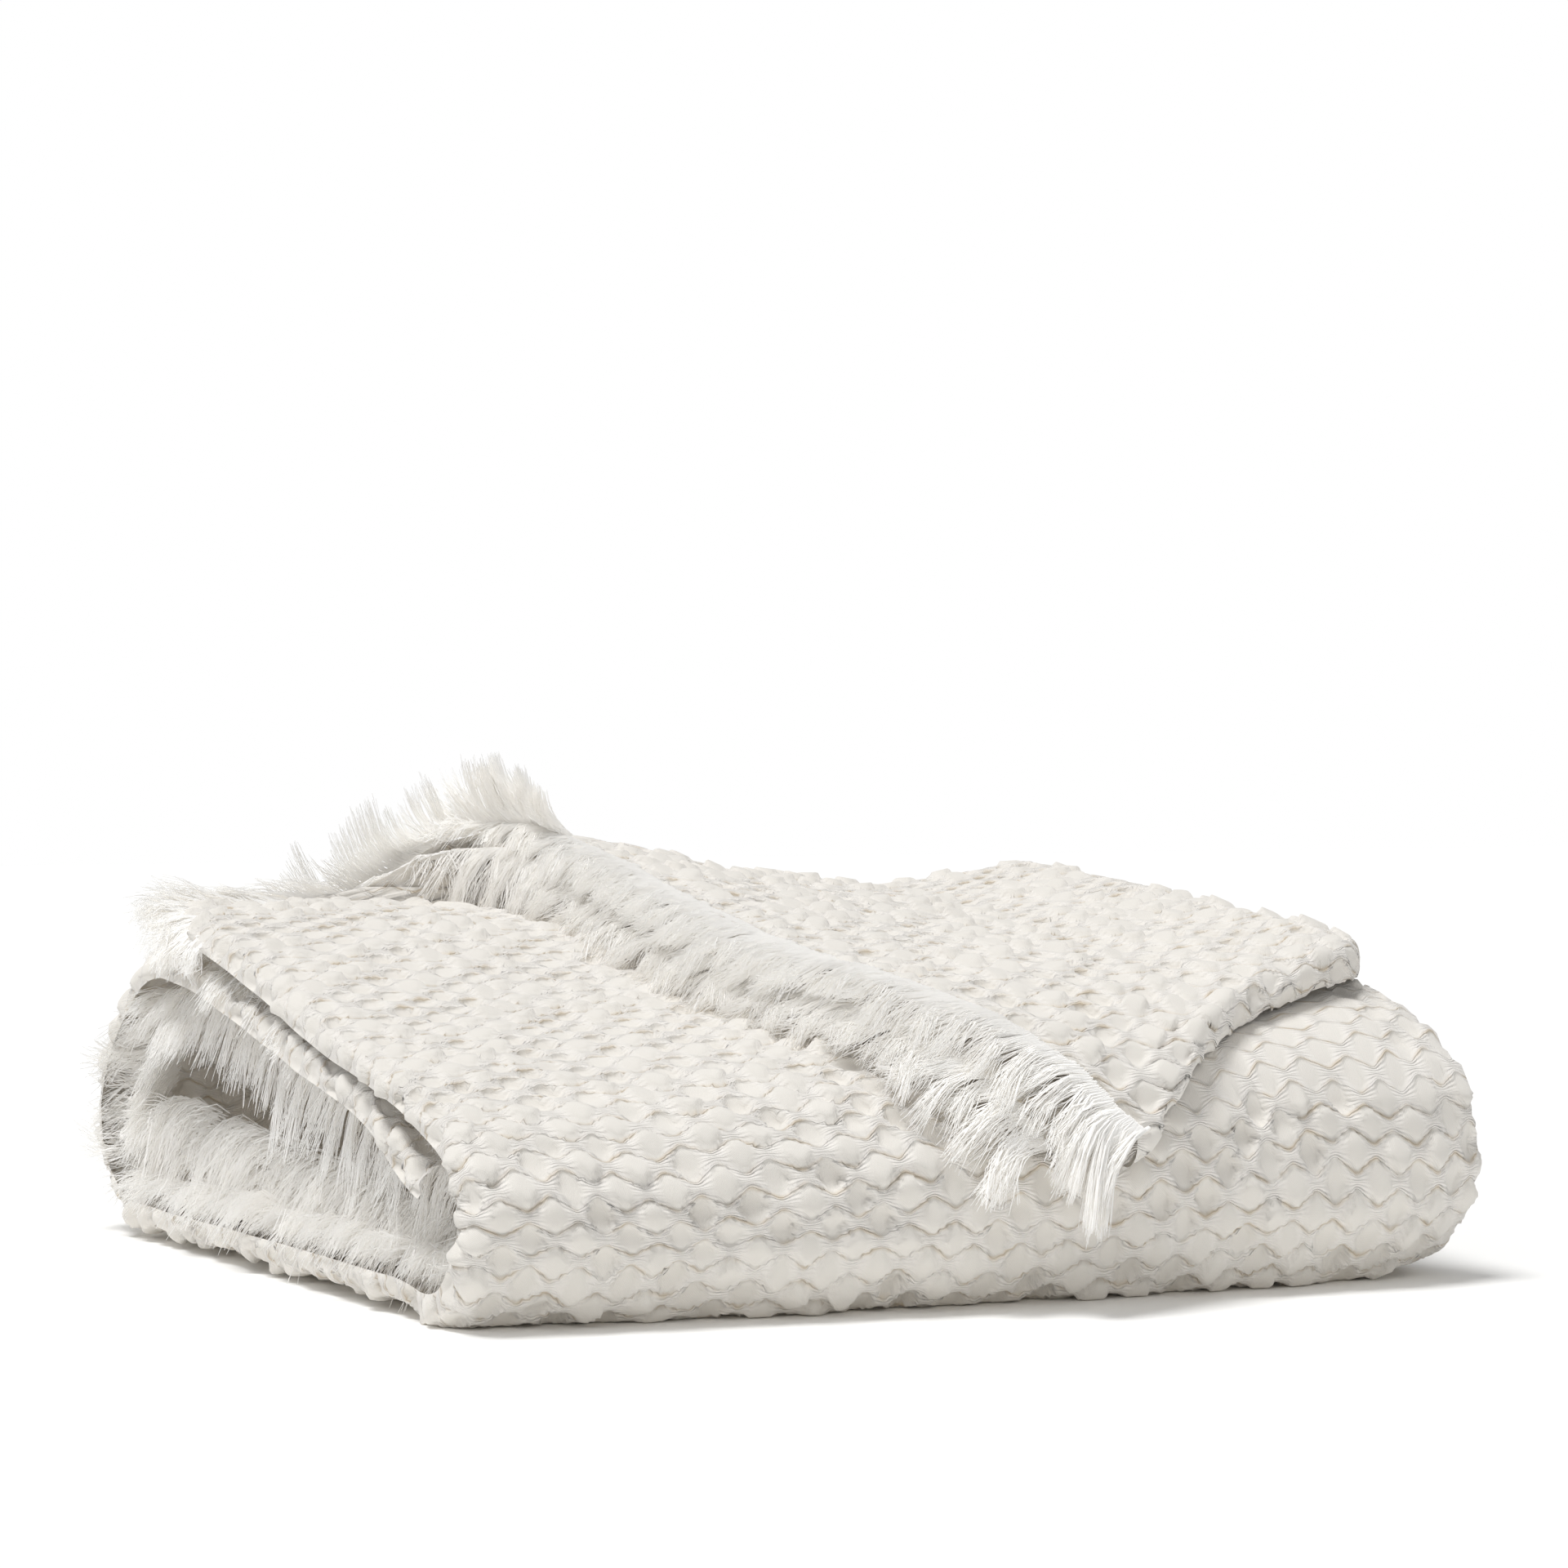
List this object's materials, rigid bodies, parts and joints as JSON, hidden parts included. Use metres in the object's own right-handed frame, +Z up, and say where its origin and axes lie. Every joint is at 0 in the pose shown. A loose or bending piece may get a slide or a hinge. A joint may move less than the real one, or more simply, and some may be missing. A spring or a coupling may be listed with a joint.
{
  "type": "throw blanket",
  "caption": "Folded cotton honeycomb-weave throw blanket with fringed ends, its last section lying askew over the top.",
  "frame": {"origin": "middle of the resting face, on the surface the folded blanket lies on", "axes": "+X from the fringed left end to the folded right end, +Y from the front fold to the back, +Z up"},
  "size_m": [0.5691, 0.5229, 0.2358],
  "materials": {
    "cotton": "matte"
  },
  "bodies": {
    "root": {"blanket": "cotton"}
  },
  "joints": []
}
